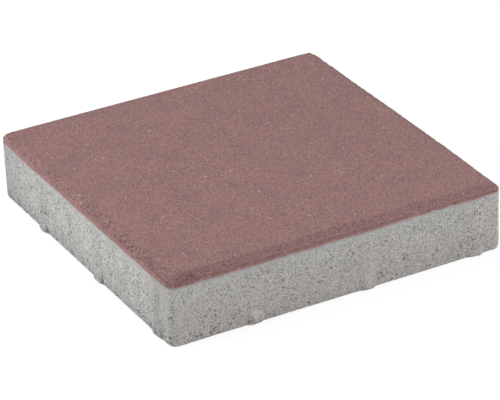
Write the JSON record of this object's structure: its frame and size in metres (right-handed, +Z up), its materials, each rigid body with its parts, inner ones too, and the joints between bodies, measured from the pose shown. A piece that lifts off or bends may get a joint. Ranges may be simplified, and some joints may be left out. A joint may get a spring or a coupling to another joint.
{
  "type": "concrete paving slab",
  "caption": "Square concrete paving slab with a thin red facing on a grey backing, a bevelled upper edge, rounded corners and spacer nibs on all four sides.",
  "frame": {"origin": "centre of the slab's underside, on the floor that it lies on", "axes": "+Z up, out of the walking face; X and Y along the sides"},
  "size_m": [0.302, 0.302, 0.06],
  "materials": {
    "red_facing_concrete": "iron-oxide red fine sandy concrete, matt, with small open pores and a rough rim",
    "grey_backing_concrete": "plain light grey vibropressed concrete, matt, open-pored, with sand grains showing"
  },
  "bodies": {
    "root": {"facing_layer": "red_facing_concrete", "backing_layer": "grey_backing_concrete"}
  },
  "joints": []
}
